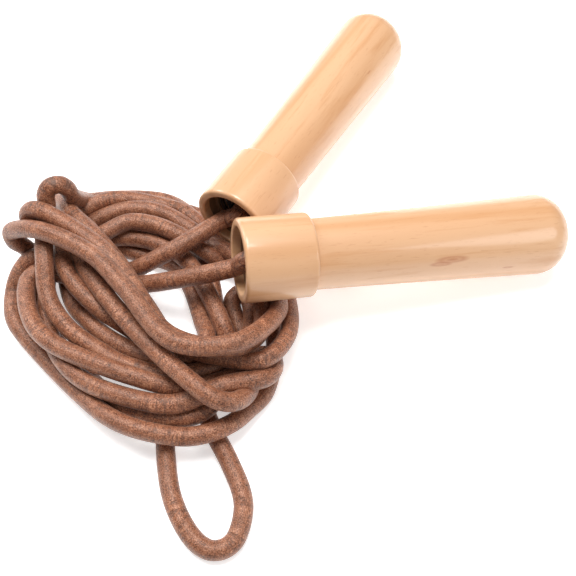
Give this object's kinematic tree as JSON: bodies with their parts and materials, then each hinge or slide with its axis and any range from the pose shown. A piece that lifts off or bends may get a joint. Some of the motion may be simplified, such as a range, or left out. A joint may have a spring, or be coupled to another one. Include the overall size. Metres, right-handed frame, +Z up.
{
  "type": "jump rope",
  "caption": "Leather cord jump rope lying in a loose bundle, with two turned wooden handles that spin on ball bearings set in their open mouths.",
  "frame": {"origin": "on the floor, under the middle of the two handles' bounding box", "axes": "+Z up, +X to the right as the bundle is seen from its front loop, +Y away from the front loop"},
  "size_m": [0.2543, 0.2753, 0.0568],
  "materials": {
    "lacquered_beech": "clear lacquer, satin to gloss",
    "cord_leather": "raw tanned, matt, speckled",
    "bearing_steel": "ground",
    "blackened_steel": "blackened",
    "seal_rubber": "moulded, matt",
    "cage_nylon": "moulded"
  },
  "bodies": {
    "rope": {"leather_cord": "cord_leather", "near_bearing_inner_ring": "bearing_steel", "near_cord_thimble": "blackened_steel", "near_stop_washer": "bearing_steel", "near_stop_screw": "bearing_steel", "far_bearing_inner_ring": "bearing_steel", "far_cord_thimble": "blackened_steel", "far_stop_washer": "bearing_steel", "far_stop_screw": "bearing_steel"},
    "near_handle": {"near_wooden_handle": "lacquered_beech", "near_bearing_outer_ring": "bearing_steel", "near_front_shield": "seal_rubber", "near_rear_shield": "seal_rubber", "near_retaining_ring": "blackened_steel"},
    "near_ball_train": {"near_ball_cage": "cage_nylon", "near_ball_1": "bearing_steel", "near_ball_2": "bearing_steel", "near_ball_3": "bearing_steel", "near_ball_4": "bearing_steel", "near_ball_5": "bearing_steel", "near_ball_6": "bearing_steel", "near_ball_7": "bearing_steel"},
    "far_handle": {"far_wooden_handle": "lacquered_beech", "far_bearing_outer_ring": "bearing_steel", "far_front_shield": "seal_rubber", "far_rear_shield": "seal_rubber", "far_retaining_ring": "blackened_steel"},
    "far_ball_train": {"far_ball_cage": "cage_nylon", "far_ball_1": "bearing_steel", "far_ball_2": "bearing_steel", "far_ball_3": "bearing_steel", "far_ball_4": "bearing_steel", "far_ball_5": "bearing_steel", "far_ball_6": "bearing_steel", "far_ball_7": "bearing_steel"}
  },
  "joints": [
    {"name": "near_handle_spin", "type": "hinge", "parent": "rope", "child": "near_handle", "pos_m": [-0.05054, -0.07013, 0.03723], "axis": [0.9668, 0.202, -0.1564], "continuous": true},
    {"name": "near_ball_train_spin", "type": "hinge", "parent": "rope", "child": "near_ball_train", "pos_m": [-0.05054, -0.07013, 0.03723], "axis": [0.9668, 0.202, -0.1564], "continuous": true},
    {"name": "far_handle_spin", "type": "hinge", "parent": "rope", "child": "far_handle", "pos_m": [-0.06133, -0.03318, 0.02614], "axis": [0.4974, 0.8651, -0.0649], "continuous": true},
    {"name": "far_ball_train_spin", "type": "hinge", "parent": "rope", "child": "far_ball_train", "pos_m": [-0.06133, -0.03318, 0.02614], "axis": [0.4974, 0.8651, -0.0649], "continuous": true}
  ],
  "couplings": [
    {"joint": "near_ball_train_spin", "follows": "near_handle_spin", "ratio": 0.6323},
    {"joint": "far_ball_train_spin", "follows": "far_handle_spin", "ratio": 0.6323}
  ]
}
